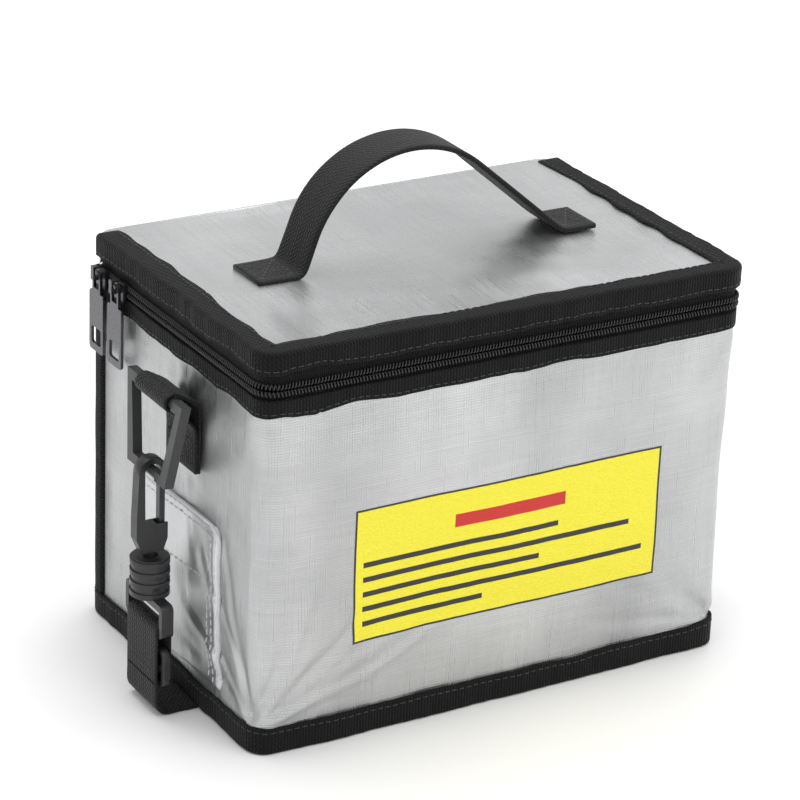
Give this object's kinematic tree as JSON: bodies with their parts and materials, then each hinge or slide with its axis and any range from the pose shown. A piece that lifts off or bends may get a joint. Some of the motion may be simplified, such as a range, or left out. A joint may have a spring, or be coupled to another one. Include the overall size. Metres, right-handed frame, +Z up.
{
  "type": "battery safe bag",
  "caption": "Box-shaped padded bag in silver fire-resistant cloth, with a zipped lid, webbing handle and clip-on strap.",
  "frame": {"origin": "centre of the bag's footprint on the surface it rests on", "axes": "+X to the right across the width, seen from the front; -Y out of the front face; +Z up"},
  "size_m": [0.2606, 0.145, 0.211],
  "materials": {
    "silver_skin": "woven glass-fibre cloth with a silver coating, satin",
    "padding": "white felted padding",
    "board": "stiff grey board",
    "lining": "plain grey woven lining",
    "binding_tape": "black ribbed tape",
    "zip_coil": "black nylon coil",
    "zip_metal": "dark plated metal",
    "webbing": "black twill webbing",
    "ring_plastic": "moulded grey plastic",
    "hook_plastic": "moulded dark plastic",
    "gate_plastic": "moulded dark plastic"
  },
  "bodies": {
    "bag": {"outer_shell": "silver_skin", "back_panel": "silver_skin", "bottom_panel": "silver_skin", "wall_padding": "padding", "base_board": "board", "lining": "lining", "bottom_binding": "binding_tape", "back_left_binding": "binding_tape", "back_right_binding": "binding_tape", "rim_band": "binding_tape", "lower_zip_tape": "binding_tape", "lower_zip_coil": "zip_coil", "zip_stops": "zip_metal", "side_pocket": "silver_skin", "left_ring_tab": "webbing", "right_ring_tab": "webbing", "strap_left_end": "webbing", "strap_under": "webbing", "strap_hank": "webbing", "strap_right_end": "webbing", "strap_keeper": "webbing"},
    "lid": {"lid_panel": "silver_skin", "lid_back_strip": "silver_skin", "lid_padding": "padding", "lid_lining": "lining", "lid_binding": "binding_tape", "upper_zip_tape": "binding_tape", "upper_zip_coil": "zip_coil", "handle_tabs": "webbing", "handle_legs": "webbing"},
    "handle": {"handle_strap": "webbing"},
    "front_slider": {"front_slider": "zip_metal"},
    "rear_slider": {"rear_slider": "zip_metal"},
    "front_pull": {"front_pull": "zip_metal"},
    "rear_pull": {"rear_pull": "zip_metal"},
    "left_ring": {"left_ring": "ring_plastic"},
    "left_base": {"left_swivel_base": "hook_plastic", "left_strap_tail": "webbing", "strap_adjuster": "hook_plastic"},
    "left_hook": {"left_hook": "hook_plastic"},
    "left_gate": {"left_gate": "gate_plastic"},
    "right_ring": {"right_ring": "ring_plastic"},
    "right_base": {"right_swivel_base": "hook_plastic", "right_strap_tail": "webbing"},
    "right_hook": {"right_hook": "hook_plastic"},
    "right_gate": {"right_gate": "gate_plastic"}
  },
  "joints": [
    {"name": "lid_hinge", "type": "hinge", "parent": "bag", "child": "lid", "pos_m": [0, 0.0725, 0.15], "axis": [-1, 0, 0], "range_deg": [0, 170]},
    {"name": "handle_swing", "type": "hinge", "parent": "lid", "child": "handle", "pos_m": [0, 0, 0.174], "axis": [1, 0, 0], "range_deg": [-45, 45], "stiffness_Nm_per_rad": 0.02, "deforming": ["handle_legs"]},
    {"name": "front_slider_travel", "type": "slide", "parent": "bag", "child": "front_slider", "axis": [0, -1, 0], "range_m": [0, 0.025]},
    {"name": "rear_slider_travel", "type": "slide", "parent": "bag", "child": "rear_slider", "axis": [0, 1, 0], "range_m": [0, 0.0004]},
    {"name": "front_pull_swing", "type": "hinge", "parent": "front_slider", "child": "front_pull", "pos_m": [-0.1106, 0.041, 0.1518], "axis": [0, 1, 0], "range_deg": [0, 150]},
    {"name": "rear_pull_swing", "type": "hinge", "parent": "rear_slider", "child": "rear_pull", "pos_m": [-0.1106, 0.057, 0.1518], "axis": [0, 1, 0], "range_deg": [0, 150]},
    {"name": "left_ring_swing", "type": "hinge", "parent": "bag", "child": "left_ring", "pos_m": [-0.1195, -0.014, 0.131], "axis": [0, 1, 0], "range_deg": [0, 20]},
    {"name": "left_hook_sway", "type": "slide", "parent": "bag", "child": "left_base", "axis": [-0.9635, 0, 0.2677], "range_m": [0, 0.01082], "deforming": ["strap_left_end"]},
    {"name": "left_swivel", "type": "hinge", "parent": "left_base", "child": "left_hook", "pos_m": [-0.1225, -0.014, 0.0615], "axis": [0, 0, 1], "range_deg": [-15, 15]},
    {"name": "left_gate", "type": "hinge", "parent": "left_hook", "child": "left_gate", "pos_m": [-0.1184, -0.014, 0.0745], "axis": [0, -1, 0], "range_deg": [0, 14], "stiffness_Nm_per_rad": 0.01},
    {"name": "right_ring_swing", "type": "hinge", "parent": "bag", "child": "right_ring", "pos_m": [0.1195, -0.014, 0.131], "axis": [0, -1, 0], "range_deg": [0, 20]},
    {"name": "right_hook_sway", "type": "slide", "parent": "bag", "child": "right_base", "axis": [0.9635, 0, 0.2677], "range_m": [0, 0.01082], "deforming": ["strap_right_end"]},
    {"name": "right_swivel", "type": "hinge", "parent": "right_base", "child": "right_hook", "pos_m": [0.1225, -0.014, 0.0615], "axis": [0, 0, 1], "range_deg": [-15, 15]},
    {"name": "right_gate", "type": "hinge", "parent": "right_hook", "child": "right_gate", "pos_m": [0.1184, -0.014, 0.0745], "axis": [0, 1, 0], "range_deg": [0, 14], "stiffness_Nm_per_rad": 0.01}
  ],
  "couplings": [
    {"joint": "left_ring_swing", "follows": "left_hook_sway", "rad_per_m": 32.272},
    {"joint": "right_ring_swing", "follows": "right_hook_sway", "rad_per_m": 32.272}
  ]
}
